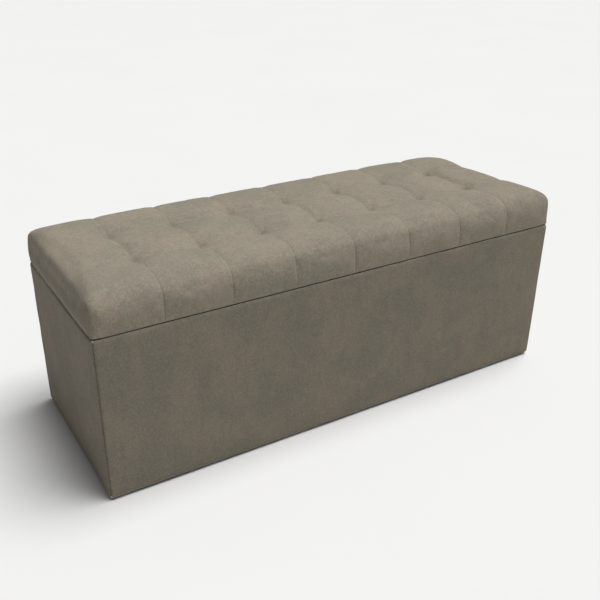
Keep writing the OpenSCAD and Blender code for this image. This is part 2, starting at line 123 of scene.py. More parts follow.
class Finish(Nodes):
    """A procedural material: a Principled shader, and the nodes that vary it over the piece."""

    def __init__(self, name, constants):
        self.material = bpy.data.materials.new(name)
        self.material.use_nodes = True
        super().__init__(self.material.node_tree)
        self.shader = self.tree.nodes["Principled BSDF"]
        for socket, value in constants.items():
            self.shader.inputs[socket].default_value = value

    def place(self, stretch=(1, 1, 1)):
        where = self.node("ShaderNodeTexCoord", output=3)
        return self.node("ShaderNodeMapping", {}, {"Vector": where, "Scale": stretch})

    def axis(self, letter):
        """The object coordinate along X, Y or Z, in metres."""
        return self.node("ShaderNodeSeparateXYZ", {}, {0: self.place()}, output="XYZ".index(letter))

    def noise(self, size, detail=2.0, rough=0.5, stretch=(1, 1, 1), warp=0.0):
        """Soft noise from 0 to 1 with features of about size metres."""
        return self.node("ShaderNodeTexNoise", {},
                         {"Vector": self.place(stretch), "Scale": 1 / size, "Detail": detail,
                          "Roughness": rough, "Distortion": warp})

    def mix(self, factor, a, b):
        """A colour between a and b."""
        return self.node("ShaderNodeMix", {"data_type": "RGBA"}, {0: factor, 6: a, 7: b}, output=2)

    def attribute(self, name):
        return self.node("ShaderNodeAttribute", {"attribute_name": name}, output=2)

    def set(self, socket, value):
        self.tree.links.new(value.socket, self.shader.inputs[socket])

    def bump(self, height, distance):
        """height is from 0 to 1 and stands for distance metres of relief."""
        self.set("Normal", self.node("ShaderNodeBump", {}, {"Height": height, "Distance": distance}))


def tone(r, g, b):
    """A linear colour from sRGB values of 11 to 255."""
    return (*[((c / 255 + 0.055) / 1.055) ** 2.4 for c in (r, g, b)], 1)


world = bpy.data.worlds.new("studio")
bpy.context.scene.world = world
world.use_nodes = True
sky = Nodes(world.node_tree)
toward = sky.node("ShaderNodeTexCoord", output=0)
to_right = sky.node("ShaderNodeSeparateXYZ", {}, {0: toward}, output=0)
upward_part = sky.node("ShaderNodeSeparateXYZ", {}, {0: toward}, output=2)
from_right = sky.node("ShaderNodeMapRange", {}, {"Value": to_right, "From Min": -1.0, "From Max": 1.0,
                                                 "To Min": 0.15, "To Max": 0.40})
overhead_share = sky.node("ShaderNodeMapRange", {}, {"Value": upward_part, "From Min": 0.0, "From Max": 0.7,
                                                     "To Min": 0.3, "To Max": 1.0})
dimmed = from_right * overhead_share
seen = sky.node("ShaderNodeLightPath")
strength = sky.node("ShaderNodeMapRange", {}, {"Value": seen, "To Min": dimmed, "To Max": 1.0})
backdrop = world.node_tree.nodes["Background"]
backdrop.inputs["Color"].default_value = (1, 1, 1, 1)
world.node_tree.links.new(strength.socket, backdrop.inputs["Strength"])

floor_finish = Finish("studio_floor", {"Roughness": 0.9, "Specular IOR Level": 0.1})
shade = floor_finish.mix(floor_finish.noise(0.8), tone(218, 218, 217), tone(221, 221, 220))
floor_finish.set("Base Color", shade)
floor.data.materials.append(floor_finish.material)

# ---- Box boards and frame ----
# The carcass inside the upholstery: four panels and a base of 15 mm and 9 mm board, glued and
# nailed to softwood posts, bottom rails, a centre bearer and the rail that takes the hinges.


def dress(finish, *nodes):
    """Gives CAD nodes a finish."""
    for name in nodes:
        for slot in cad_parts[name].material_slots:
            slot.material = finish.material


def softwood(name, grain):
    """Planed pine with its grain along one axis; grain holds the stretch of each axis."""
    wood = Finish(name, {"Specular IOR Level": 0.3})
    rings = wood.noise(14 * mm, 3, 0.55, grain, 0.6)
    fibre = wood.noise(1.6 * mm, 3, 0.6, grain)
    knots = wood.noise(90 * mm, 1, 0.4)
    colour = wood.mix(rings.ramp(0.35, 0.66), tone(226, 196, 152), tone(196, 156, 108))
    colour = wood.mix(fibre.ramp(0.45, 0.8) * 0.5, colour, tone(168, 128, 84))
    wood.set("Base Color", wood.mix(knots.ramp(0.7, 0.8) * 0.7, colour, tone(120, 84, 50)))
    wood.set("Roughness", 0.55 + fibre * 0.25)
    wood.bump(fibre * 0.6 + rings * 0.4, 0.25 * mm)
    return wood


board = Finish("pressed_board", {"Specular IOR Level": 0.25})
flakes = board.noise(5 * mm, 4, 0.7, (1, 1, 2.5), 0.5)
dust = board.noise(1.2 * mm, 2, 0.6)
plain = board.mix(flakes.ramp(0.35, 0.65), tone(206, 178, 138), tone(184, 152, 110))
board.set("Base Color", board.mix(dust.ramp(0.55, 0.8) * 0.6, plain, tone(132, 100, 66)))
board.set("Roughness", 0.7 + dust * 0.2)
board.bump(flakes * 0.5 + dust * 0.5, 0.2 * mm)
dress(board, "front_panel", "back_panel", "left_panel", "right_panel", "base_board", "lid_board")

pine_long = softwood("pine_along_the_length", (0.08, 1, 1))
pine_deep = softwood("pine_along_the_depth", (1, 0.08, 1))
pine_tall = softwood("pine_upright", (1, 1, 0.08))
dress(pine_long, "front_bottom_rail", "back_bottom_rail", "hinge_rail", "lid_front_rail", "lid_back_rail")
dress(pine_deep, "left_bottom_rail", "right_bottom_rail", "centre_bearer", "lid_left_rail",
      "lid_right_rail", "lid_cross_rail_left", "lid_cross_rail_right")
dress(pine_tall, "corner_post_front_left", "corner_post_front_right", "corner_post_back_left",
      "corner_post_back_right")

# ---- Box wrap ----
# Five millimetres of white fibre wrap, glued round the outside of the panels so that the fabric
# lies soft over the board and its corners.
lid_low, lid_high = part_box("lid_cover")
box_low, box_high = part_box("front_cover")
back_low, back_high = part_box("back_cover")
bench_low = Vector((lid_low.x, lid_low.y, box_low.z))
bench_high = Vector((lid_high.x, lid_high.y, box_high.z))
bench_mid = (bench_low + bench_high) / 2


def alone(piece):
    """Only this piece is selected and active, in object mode."""
    if bpy.context.object and bpy.context.object.mode != "OBJECT":
        bpy.ops.object.mode_set(mode="OBJECT")
    bpy.ops.object.select_all(action="DESELECT")
    piece.select_set(True)
    bpy.context.view_layer.objects.active = piece


def edit(piece, kind, test):
    """Opens the piece in edit mode with just the elements that pass the test selected."""
    alone(piece)
    groups = (piece.data.vertices, piece.data.edges, piece.data.polygons)
    at = ("VERT", "EDGE", "FACE").index(kind)
    for group in groups:
        group.foreach_set("select", np.zeros(len(group), bool))
    bpy.context.tool_settings.mesh_select_mode = [i == at for i in range(3)]
    groups[at].foreach_set("select", np.array([bool(test(e)) for e in groups[at]], bool))
    bpy.ops.object.mode_set(mode="EDIT")


def done():
    bpy.ops.object.mode_set(mode="OBJECT")


def points(piece, what="co"):
    """The vertices' places, or their normals, as an array."""
    values = np.empty(len(piece.data.vertices) * 3)
    piece.data.vertices.foreach_get(what, values)
    return values.reshape(-1, 3)


def put(piece, co):
    piece.data.vertices.foreach_set("co", co.ravel())
    piece.data.update()


def modify(piece, kind, **settings):
    """Adds a modifier and applies it."""
    alone(piece)
    made = piece.modifiers.new(kind.lower(), kind)
    for key, value in settings.items():
        setattr(made, key, value)
    bpy.ops.object.modifier_apply(modifier=made.name)


def cut(piece, axis, places):
    """Cuts the whole piece along planes across an axis."""
    edit(piece, "FACE", lambda f: True)
    normal = [float(i == axis) for i in range(3)]
    for place in places:
        bpy.ops.mesh.select_all(action="SELECT")
        bpy.ops.mesh.bisect(plane_co=[c * float(place) for c in normal], plane_no=normal)
    done()


def cell_cuts(piece, cell):
    """Cuts a flat-sided piece into cells of about cell metres."""
    co = points(piece)
    for axis in range(3):
        low, high = co[:, axis].min(), co[:, axis].max()
        if high - low > 2 * cell:
            cut(piece, axis, np.linspace(low, high, int((high - low) / cell) + 1)[1:-1] + 0.37 * mm)


def mark(piece, name, values):
    """Stores a number for each vertex, which the finish reads."""
    made = piece.data.attributes.new(name, "FLOAT", "POINT")
    made.data.foreach_set("value", np.asarray(values, np.float32))


def bell(distance, width):
    return np.exp(-(distance / width) ** 2)


def to_sides(co, axis, low, high):
    """How far each point is from the nearer of two planes across an axis."""
    return np.minimum(np.abs(co[:, axis] - low[axis]), np.abs(high[axis] - co[:, axis]))


def smooth_noise(co, size, seed):
    """Noise from -1 to 1 at each point, with features of about size metres."""
    shift = Vector((seed * 7.13, seed * 3.71, seed * 5.37))
    return np.array([noise.noise(Vector(p) / size + shift) for p in co])


def cloth_from(node, name):
    """A new piece that starts as the CAD node's mesh, with its loose triangles merged."""
    bpy.ops.mesh.primitive_cube_add()
    piece = bpy.context.object
    piece.name = name
    piece.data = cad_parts[node].data.copy()
    piece.data.materials.clear()
    edit(piece, "VERT", lambda v: True)
    bpy.ops.mesh.remove_doubles(threshold=0.01 * mm)
    bpy.ops.mesh.dissolve_limited(angle_limit=radians(0.5))
    done()
    return piece


fibre_wrap = Finish("fibre_wrap", {"Specular IOR Level": 0.2})
strands = fibre_wrap.noise(6 * mm, 5, 0.8, warp=1.5)
clumps = fibre_wrap.noise(30 * mm, 3, 0.6)
white = fibre_wrap.mix(strands.ramp(0.3, 0.7), tone(238, 238, 234), tone(214, 214, 208))
fibre_wrap.set("Base Color", white)
fibre_wrap.set("Roughness", 0.85 + clumps * 0.1)
fibre_wrap.bump(strands * 0.6 + clumps * 0.4, 1.2 * mm)

wall_wrap = cloth_from("wall_padding", "wall_wrap")
cell_cuts(wall_wrap, 40 * mm)
co = points(wall_wrap)
outer = 3 * mm                                                # nearer to the outside: the outer face
hollow = (0.9 + 0.3 * smooth_noise(co, 60 * mm, 5)) * mm      # pressed in by the taut fabric
for axis in (0, 1):
    inward = np.sign(bench_mid[axis] - co[:, axis])
    co[:, axis] += inward * hollow * (to_sides(co, axis, bench_low, bench_high) < outer)
put(wall_wrap, co)
wall_wrap.data.materials.append(fibre_wrap.material)
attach(wall_wrap, "box")
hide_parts("wall_padding")

# ---- Box covers ----
# Four panels of brushed suede-like fabric, seamed at the upright corners, pulled over the rim and
# down inside it, and turned under the base. Stapled on the inside and underneath.
cloth_t = 1.2 * mm
corner_r = 10 * mm
turn_down = 25 * mm
side_in = box_high.y - box_low.y                              # from outside to the turned-in face
back_in = back_high.y - back_low.y
under_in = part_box("front_panel")[1].y - bench_low.y           # how far the turn under the base goes


def brushed_suede(name, painted_lightness):
    """The cover fabric. The second argument scales all its colours; below 1 it makes a copy painted darker,
    which is painted shade.
    """
    cloth = Finish(name, {"Sheen Weight": 0.12, "Sheen Roughness": 0.5,
                          "Sheen Tint": tone(226, 214, 194), "Specular IOR Level": 0.15})

    def dye_and_painted_shade(r, g, b):
        return tone(r * painted_lightness, g * painted_lightness, b * painted_lightness)

    fine = cloth.noise(2.2 * mm, 3, 0.75)
    nap = cloth.noise(5 * mm, 4, 0.75, warp=0.5)
    brushed = cloth.noise(16 * mm, 5, 0.7, (1, 1, 0.5), 0.8)
    patch = cloth.noise(110 * mm, 4, 0.55, warp=0.6)
    colour = cloth.mix(patch.ramp(0.36, 0.64), dye_and_painted_shade(143, 133, 118), dye_and_painted_shade(129, 125, 111))
    colour = cloth.mix(brushed.ramp(0.38, 0.64) * 0.5, colour, dye_and_painted_shade(122, 115, 103))
    colour = cloth.mix(nap.ramp(0.42, 0.62) * 0.42, colour, dye_and_painted_shade(161, 152, 137))
    colour = cloth.mix(fine.ramp(0.45, 0.66) * 0.42, colour, dye_and_painted_shade(106, 99, 89))
    # Painted shade: where the seam mark is high, in seam grooves, tufts and folds, the colour is painted
    # darker.
    painted_seam_shade = cloth.attribute("seam").ramp(0.2, 1.0)
    # Painted shade: sides that face left are painted darker than the rest.
    colour = cloth.mix(cloth.attribute("painted_left_shade") * 0.3, colour, dye_and_painted_shade(84, 78, 68))
    cloth.set("Base Color", cloth.mix(painted_seam_shade * 0.55, colour, dye_and_painted_shade(60, 55, 48)))
    cloth.set("Roughness", 0.84 + brushed * 0.12)
    cloth.bump(fine * 0.4 + nap * 0.6, 0.6 * mm)
    return cloth


# The box covers take a copy of the fabric painted about a tenth darker: painted shade on the upright walls.
wall_suede = brushed_suede("suede_painted_darker", 0.905)


def arc(centre, radius, start, stop, steps=6):
    """Points on an arc in the (inset, height) plane, angles in quarter turns from +inset."""
    turns = np.linspace(start, stop, steps + 1) * pi / 2
    return [(centre[0] + radius * cos(a), centre[1] + radius * sin(a)) for a in turns]


def wrap_profile(depth):
    """The fabric's section as (inset, height): under the base, up the face, over the rim, down."""
    low, rim = bench_low.z, bench_high.z
    foot, brow, lip = 6 * mm, 5 * mm, 1.5 * mm
    return ([(under_in, low)] + arc((foot, low + foot), foot, -1, -2) + arc((brow, rim - brow), brow, 2, 1)
            + arc((depth - lip, rim - lip), lip, 1, 0, 3) + [(depth, rim - turn_down)])


def box_cover(name, half, depth, far_in, place, pucker, seed):
    """One cover, laid out as (along the wall, inset, height) and put in its place by place."""
    bpy.ops.mesh.primitive_grid_add(x_subdivisions=180, y_subdivisions=84, size=2)
    cover = bpy.context.object
    cover.name = name
    co = points(cover)
    line = np.array(wrap_profile(depth))
    reach = np.r_[0, np.cumsum(np.linalg.norm(np.diff(line, axis=0), axis=1))]
    at = (co[:, 1] + 1) / 2 * reach[-1]
    inset, height = np.interp(at, reach, line[:, 0]), np.interp(at, reach, line[:, 1])
    straight = half - corner_r
    along = (1.5 * co[:, 0] - 0.5 * co[:, 0] ** 3) * (straight + corner_r * pi / 4)
    gone = (np.abs(along) - straight) / corner_r               # the angle round the corner
    seam_away = (pi / 4 - gone) * corner_r
    rise = (height - bench_mid.z) / ((bench_high.z - bench_low.z) / 2)
    face = np.clip((4.5 * mm - inset) / (4.5 * mm), 0, 1)       # 1 on the outer face
    spot = np.c_[along, inset * 3, height]
    swell = 1.8 * mm * (1 - rise ** 4) * (1 - bell(seam_away, 34 * mm))
    swell += 0.6 * mm * smooth_noise(spot, 95 * mm, seed) + 0.3 * mm * smooth_noise(spot, 32 * mm, seed + 1)
    folds = np.sin(seam_away * 2 * pi / (10.5 * mm) + 2.5 * smooth_noise(spot, 60 * mm, seed + 2))
    swell += pucker * folds * bell(seam_away - 22 * mm, 26 * mm) * (1 - 0.75 * np.abs(rise) ** 3)
    swell -= 0.9 * mm * bell(seam_away, 1.5 * mm)
    inset = inset - np.maximum(swell, -0.8 * mm) * face
    bent = gone > 0
    outer_part = bent & (inset < corner_r)
    radius = np.maximum(corner_r - inset, 0)
    turned = (inset > depth - 3 * mm) & (height < bench_high.z - 1 * mm)
    # Inside the corner the two covers meet in a mitre; the turned-down parts meet square.
    mitre = straight + (corner_r - inset) * np.tan(np.clip(gone, 0, pi / 4))
    sharp = np.where(turned, half - far_in, mitre)
    x = np.where(outer_part, straight + radius * np.sin(gone), np.where(bent, sharp, np.abs(along)))
    x = np.where(turned, np.minimum(x, half - far_in), x)
    y = np.where(outer_part, corner_r - radius * np.cos(gone), inset)
    put(cover, np.array([place(*p) for p in zip(np.sign(along) * x, y, height)]))
    # This mark paints shade into the corner seam's groove.
    mark(cover, "seam", bell(seam_away, 1.4 * mm) * face)
    modify(cover, "SOLIDIFY", thickness=cloth_t, offset=-1)
    alone(cover)
    bpy.ops.object.shade_smooth()
    cover.data.materials.append(wall_suede.material)
    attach(cover, "box")
    return cover, reach[-1]


half_w = (bench_high.x - bench_low.x) / 2
half_d = (bench_high.y - bench_low.y) / 2
walls = {
    "front": (half_w, side_in, side_in, lambda s, d, z: (s, bench_low.y + d, z), 0.15 * mm),
    "back": (half_w, back_in, side_in, lambda s, d, z: (-s, bench_high.y - d, z), 0.15 * mm),
    "left": (half_d, side_in, side_in, lambda s, d, z: (bench_low.x + d, bench_mid.y - s, z), 0.45 * mm),
    "right": (half_d, side_in, side_in, lambda s, d, z: (bench_high.x - d, bench_mid.y + s, z), 0.45 * mm),
}
for seed, (side, (half, depth, far_in, place, pucker)) in enumerate(walls.items()):
    panel_cover, length = box_cover(f"{side}_panel_cover", half, depth, far_in, place, pucker,
                                    10 * seed + 3)
    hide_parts(f"{side}_cover")

# ---- Box linings ----
# Black spunbond lining: one strip round the inside with its top edge stapled under the covers'
# turn, a loose sheet on the floor, and a dust cover stapled under the base.


def spunbond(name, dark, light):
    """Spunbond sheet: pressed with a grid of small dots, slightly mottled."""
    sheet = Finish(name, {"Specular IOR Level": 0.3, "Sheen Weight": 0.1})
    across = (sheet.axis("X") + sheet.axis("Y")) * (2 * pi / (2.6 * mm))
    other = (sheet.axis("Z") + sheet.axis("X") - sheet.axis("Y")) * (2 * pi / (2.6 * mm))
    dots = (across.wave() * other.wave()).ramp(0.25, 0.8)
    creases = sheet.noise(45 * mm, 4, 0.6, warp=1.2)
    threads = sheet.noise(1.5 * mm, 3, 0.7, warp=1.0)
    sheet.set("Base Color", sheet.mix(creases.ramp(0.3, 0.7) * 0.6 + threads * 0.4, dark, light))
    sheet.set("Roughness", 0.62 + threads * 0.25)
    sheet.bump(creases * 0.55 + threads * 0.15 - dots * 0.12, 1.0 * mm)
    return sheet


lining = spunbond("black_spunbond", tone(40, 39, 38), tone(56, 55, 53))
dust_sheet = spunbond("dust_cover_spunbond", tone(30, 30, 30), tone(42, 42, 41))
staple_pitch = 90 * mm


def edge_distance(co, low, high):
    """How far each point is inside a rectangle in plan."""
    return np.minimum(np.minimum(co[:, 0] - low.x, high.x - co[:, 0]),
                      np.minimum(co[:, 1] - low.y, high.y - co[:, 1]))


def hang(name, node, body, finish, slack):
    """A flat sheet that is stapled round its edge and sags by slack between the staples."""
    low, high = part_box(node)
    sheet = cloth_from(node, name)
    cell_cuts(sheet, 15 * mm)
    co = points(sheet)
    away = edge_distance(co, low, high)
    between = 0.5 - 0.5 * np.cos((co[:, 0] + co[:, 1]) * 2 * pi / staple_pitch)
    soft = 1 - bell(away, 40 * mm)
    sag = slack * (soft * (0.6 + 0.4 * smooth_noise(co * [1, 1, 0], 120 * mm, 8))
                   + 0.35 * between * bell(away - 4 * mm, 18 * mm))
    co[:, 2] += np.where(slack > 0, np.maximum(sag, 0), np.minimum(sag, 0))
    put(sheet, co)
    alone(sheet)
    bpy.ops.object.shade_smooth_by_angle(angle=radians(40))
    sheet.data.materials.append(finish.material)
    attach(sheet, body)
    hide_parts(node)


hang("floor_sheet", "floor_lining", "box", lining, 0.4 * mm)
hang("dust_sheet", "dust_cover", "box", dust_sheet, -1.6 * mm)

wall_low, wall_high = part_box("side_lining")
wall_sheet = cloth_from("side_lining", "wall_sheet")
cell_cuts(wall_sheet, 18 * mm)
co = points(wall_sheet)
drop = (co[:, 2] - wall_low.z) / (wall_high.z - wall_low.z)
slack = 0.5 * mm * np.clip(np.sin(pi * drop), 0, 1) * (0.5 + 0.5 * smooth_noise(co, 70 * mm, 4))
for axis in (0, 1):
    other = 1 - axis
    at_wall = to_sides(co, axis, wall_low, wall_high) < 1.5 * mm
    from_corner = np.minimum(co[:, other] - wall_low[other], wall_high[other] - co[:, other])
    free = 1 - bell(np.maximum(from_corner - 45 * mm, 0), 40 * mm)      # flat over the corner posts
    free *= at_wall * (from_corner > 46 * mm)
    co[:, axis] += np.sign(bench_mid[axis] - co[:, axis]) * slack * free
put(wall_sheet, co)
wall_sheet.data.materials.append(lining.material)
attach(wall_sheet, "box")
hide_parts("side_lining")

# ---- Feet, buffers and metal fittings ----
# Six moulded nylon glides nailed underneath, four rubber buffers in the rim, and zinc-plated
# hinges, screws, staples, stay plates and slotted arms.
nylon = Finish("moulded_nylon", {"Specular IOR Level": 0.45, "Subsurface Weight": 0.05})
flow = nylon.noise(8 * mm, 3, 0.6)
scuffs = nylon.noise(1.2 * mm, 2, 0.7, (1, 0.15, 1))
nylon.set("Base Color", nylon.mix(flow, tone(196, 192, 182), tone(184, 179, 168)))
nylon.set("Roughness", 0.38 + scuffs * 0.25)
nylon.bump(scuffs, 0.05 * mm)
dress(nylon, "glides")

rubber = Finish("buffer_rubber", {"Specular IOR Level": 0.4})
bloom = rubber.noise(3 * mm, 4, 0.7)
rubber.set("Base Color", rubber.mix(bloom.ramp(0.4, 0.8), tone(34, 34, 34), tone(58, 57, 55)))
rubber.set("Roughness", 0.6 + bloom * 0.3)
rubber.bump(bloom, 0.08 * mm)
dress(rubber, "rim_buffers")

zinc = Finish("zinc_plate", {"Metallic": 1.0})
spangle = zinc.noise(9 * mm, 4, 0.6, warp=0.8)
rolled = zinc.noise(0.8 * mm, 3, 0.6, (0.12, 1, 1))
tarnish = zinc.noise(40 * mm, 3, 0.6)
plated = zinc.mix(spangle.ramp(0.3, 0.7), tone(196, 198, 198), tone(178, 180, 182))
zinc.set("Base Color", zinc.mix(tarnish.ramp(0.45, 0.8) * 0.5, plated, tone(150, 148, 140)))
zinc.set("Roughness", 0.26 + rolled * 0.18 + tarnish * 0.1)
zinc.bump(rolled, 0.03 * mm)
dress(zinc, *[f"hinge_{n}_{leaf}_leaf" for n in (1, 2, 3) for leaf in ("box", "lid")], "hinge_pins",
      *[f"stay_{side}_{part}" for side in ("left", "right") for part in ("arm", "box_plate", "lid_plate")])

steel = Finish("fastener_steel", {"Metallic": 1.0})
turned_marks = steel.noise(0.7 * mm, 3, 0.6)
steel.set("Base Color", steel.mix(turned_marks, tone(176, 174, 168), tone(150, 148, 142)))
steel.set("Roughness", 0.28 + turned_marks * 0.2)
steel.bump(turned_marks, 0.03 * mm)
dress(steel, "underside_staples", "hinge_box_screws", "hinge_lid_screws", "lid_staples", "tuft_anchors",
      "stay_studs", "stay_rivets", "stay_box_screws", "stay_lid_screws")

# ---- Lid cover ----
# The same fabric, sewn from eight strips whose seams run across the lid and down its front and
# back. Fourteen twines pull the seams down into tufts, and the filling swells the strips between
# them. Stapled under the lid frame.
strips = 8
tuft_rows = 2
lid_w = lid_high.x - lid_low.x
lid_d = lid_high.y - lid_low.y
seam_x = np.array([lid_low.x + k * lid_w / strips for k in range(1, strips)])
row_y = np.array([lid_low.y + j * lid_d / (tuft_rows + 1) for j in range(1, tuft_rows + 1)])
under_turn = 48 * mm
start_inset = 0.5 * mm         # the sewn shell before the filling swells it
start_drop = 4 * mm
slack_drop = 1.5 * mm          # the unfilled top lies this much lower in its middle
tuft_z = lid_high.z - 17 * mm  # where the twines hold the seams
seam_drop = 1.5 * mm
brow_r = 27 * mm               # the roundness of the top edges
end_r = 15 * mm                # at the two ends
foot_r = 9 * mm                # and of the upright corners at the foot
cap = 5.5 * mm                 # the furthest that a point may swell
brow_drop = 3 * mm             # the crown is this much lower along its edges
corner_drop = 3 * mm           # and again at its corners
end_dip = 3 * mm
short_corner = 7 * mm          # how much lower the back right corner is
sew_turn = 2.6 * mm            # the depth of the seams near the tufts
fold_depth = 3 * mm
stitch_depth = 2.2 * mm        # how far the stitch itself is pulled below the fabric round it


def beside_seam(co):
    """The distance to the nearest seam, negative on its left."""
    apart = co[:, :1] - seam_x
    return apart[np.arange(len(co)), np.abs(apart).argmin(1)]


def to_seam(co):
    return np.abs(beside_seam(co))


def beside_row(co):
    """The distance to the nearest row of tufts, negative in front of it."""
    apart = co[:, 1:2] - row_y
    return apart[np.arange(len(co)), np.abs(apart).argmin(1)]


def to_tuft(co):
    return np.hypot(beside_seam(co), beside_row(co))


def tightened(past, radius):
    """How far points past a corner's centre move when its roundness, brow_r, becomes radius."""
    angle = np.arctan2(past[:, 1], past[:, 0])
    c, s = np.cos(angle), np.sin(angle)
    inner = brow_r - radius
    along = (c + s) * inner
    round_reach = along + np.sqrt(np.maximum(along ** 2 - 2 * inner ** 2 + radius ** 2, 0))
    longer = np.maximum(np.maximum(c, s), 0.1)
    straight_reach = brow_r / longer
    on_side = brow_r * np.minimum(c, s) / longer <= inner
    grown = past * (np.where(on_side, straight_reach, round_reach) / brow_r)[:, None]
    return np.where((past.min(1) > 0)[:, None], grown - past, 0)


def sewn_shell(name):
    """The shell before it is filled: a block with soft corners, in small even faces."""
    size = (lid_w - 2 * start_inset, lid_d - 2 * start_inset, lid_high.z - start_drop - lid_low.z)
    middle = ((lid_low.x + lid_high.x) / 2, (lid_low.y + lid_high.y) / 2, lid_low.z + size[2] / 2)
    bpy.ops.mesh.primitive_cube_add(size=1, location=middle, scale=size)
    shell = bpy.context.object
    shell.name = name
    bpy.ops.object.transform_apply()

    def rounded(e):
        a, b = (shell.data.vertices[v].co for v in e.vertices)
        return max(a.z, b.z) > lid_low.z + 1 * mm

    edit(shell, "EDGE", rounded)
    bpy.ops.mesh.bevel(offset=brow_r, segments=8)
    done()
    shell.data.remesh_voxel_size = 6 * mm
    alone(shell)
    bpy.ops.object.voxel_remesh()

    # The ends are boxed with a tighter edge than the front and back, and so are the upright
    # corners below it.
    co = points(shell)
    straight = np.array(size) / 2 - brow_r                    # from the middle to where an edge starts
    off = co - middle
    past = np.c_[np.abs(off[:, 0]) - straight[0], off[:, 2] - straight[2]]
    ends = tightened(past, end_r)
    co[:, 0] += np.sign(off[:, 0]) * ends[:, 0]
    co[:, 2] += ends[:, 1]
    off = co - middle
    up = np.clip((off[:, 2] - straight[2]) / brow_r, 0, 1)
    radius = foot_r + (brow_r - foot_r) * up * up * (3 - 2 * up)
    co[:, :2] += np.sign(off[:, :2]) * tightened(np.abs(off[:, :2]) - straight[:2], radius)
    put(shell, co)
    return shell


lid_cover = sewn_shell("tufted_lid_cover")
co, out = points(lid_cover), points(lid_cover, "normal")
upward = np.clip(out[:, 2], 0, 1)
seam_away, tuft_away = to_seam(co), to_tuft(co)
rim_away = edge_distance(co, lid_low, lid_high)
co[:, 2] -= upward * slack_drop * (1 - bell(np.maximum(rim_away - 12 * mm, 0), 50 * mm))
co[:, 2] -= upward * brow_drop * bell(np.maximum(rim_away - 8 * mm, 0), 38 * mm)
to_corner = np.hypot(lid_w / 2 - np.abs(co[:, 0]), lid_d / 2 - np.abs(co[:, 1] - bench_mid.y))
co[:, 2] -= upward * corner_drop * bell(np.maximum(to_corner - 20 * mm, 0), 55 * mm)
co[:, 2] -= upward * seam_drop * bell(seam_away, 13 * mm)
pulled = upward * np.exp(-tuft_away / (16 * mm))
co[:, 2] += (tuft_z - co[:, 2]) * pulled
co[:, 1] -= out[:, 1] * 1.5 * mm * bell(seam_away, 12 * mm) * (co[:, 2] > lid_low.z + 6 * mm)
put(lid_cover, co)
before = co.copy()

held = lid_cover.vertex_groups.new(name="held")
firm = 0.05 + 0.25 * bell(np.maximum(rim_away, 0), 45 * mm)          # firmer near the edges
weight = np.where(co[:, 2] < lid_low.z + 5 * mm, 1.0, firm * bell(seam_away, 3.5 * mm))
weight = np.maximum(weight, upward * np.clip(1.6 * bell(tuft_away, 12 * mm), 0, 1))
for index in np.nonzero(weight > 0.01)[0]:
    held.add([int(index)], float(weight[index]), "REPLACE")

alone(lid_cover)
swelling = lid_cover.modifiers.new("swelling", "CLOTH")
fabric = swelling.settings
fabric.quality = 5
fabric.mass = 0.15
fabric.tension_stiffness = 12
fabric.compression_stiffness = 6
fabric.shear_stiffness = 4
fabric.bending_stiffness = 0.6
fabric.shrink_min = -0.004
fabric.use_pressure = True
fabric.uniform_pressure_force = 1.9
fabric.vertex_group_mass = "held"
fabric.effector_weights.gravity = 0
swelling.collision_settings.use_collision = False
swelling.point_cache.frame_start, swelling.point_cache.frame_end = 1, 20
for step in range(1, 21):
    bpy.context.scene.frame_set(step)
bpy.ops.object.modifier_apply(modifier=swelling.name)
bpy.context.scene.frame_set(1)
moved = points(lid_cover) - before
reach = np.linalg.norm(moved, axis=1)
co = before + moved * (np.minimum(reach, cap) / np.maximum(reach, 1e-9))[:, None]
put(lid_cover, co)
lid_cover.vertex_groups.clear()

# Each twine draws the fabric down to a point.
drawn = np.clip(points(lid_cover, "normal")[:, 2], 0, 1) * np.exp(-(to_tuft(co) / (15 * mm)) ** 0.95)
co[:, 2] += np.minimum(tuft_z - co[:, 2], 0) * drawn
put(lid_cover, co)

# The plain ends are pulled smooth by hand before stapling.
smoothed = lid_cover.vertex_groups.new(name="smoothed")
past_seam = np.abs(co[:, 0]) - seam_x[-1]
ease = np.clip((past_seam - 4 * mm) / (40 * mm), 0, 1) * (co[:, 2] > lid_low.z + 6 * mm)
for index in np.nonzero(ease > 0.01)[0]:
    smoothed.add([int(index)], float(ease[index]), "REPLACE")
modify(lid_cover, "SMOOTH", factor=0.5, iterations=14, vertex_group="smoothed")
lid_cover.vertex_groups.clear()

# Each row of tufts still draws a shallow dip across the ends, and the back right corner is
# filled a little less than the others.
co = points(lid_cover)
at_end = np.clip((np.abs(co[:, 0]) - seam_x[-1] - 25 * mm) / (45 * mm), 0, 1)
sag = end_dip * bell(beside_row(co), 17 * mm) * at_end
to_back_right = np.hypot(lid_high.x - co[:, 0], lid_high.y - co[:, 1])
sag += short_corner * bell(np.maximum(to_back_right - 15 * mm, 0), 45 * mm)
co[:, 2] -= sag * np.clip((co[:, 2] - lid_low.z) / (70 * mm), 0, 1)
put(lid_cover, co)
filled_shape = lid_cover.data.copy()            # the filling takes its shape from this later

# The underside keeps only the turn that is stapled to the frame.
edit(lid_cover, "FACE", lambda f: f.normal.z < -0.9 and f.center.z < lid_low.z + 4 * mm
     and abs(f.center.x) < lid_high.x - under_turn
     and lid_low.y + under_turn < f.center.y < lid_high.y - under_turn)
bpy.ops.mesh.delete(type="FACE")
done()
modify(lid_cover, "SUBSURF", levels=1, render_levels=1)
# Edge loops along each seam, so that its groove is sharp.
groove = (-2.4 * mm, -1.0 * mm, 0, 1.0 * mm, 2.4 * mm)
cut(lid_cover, 0, sorted(float(x + g) for x in seam_x for g in groove))

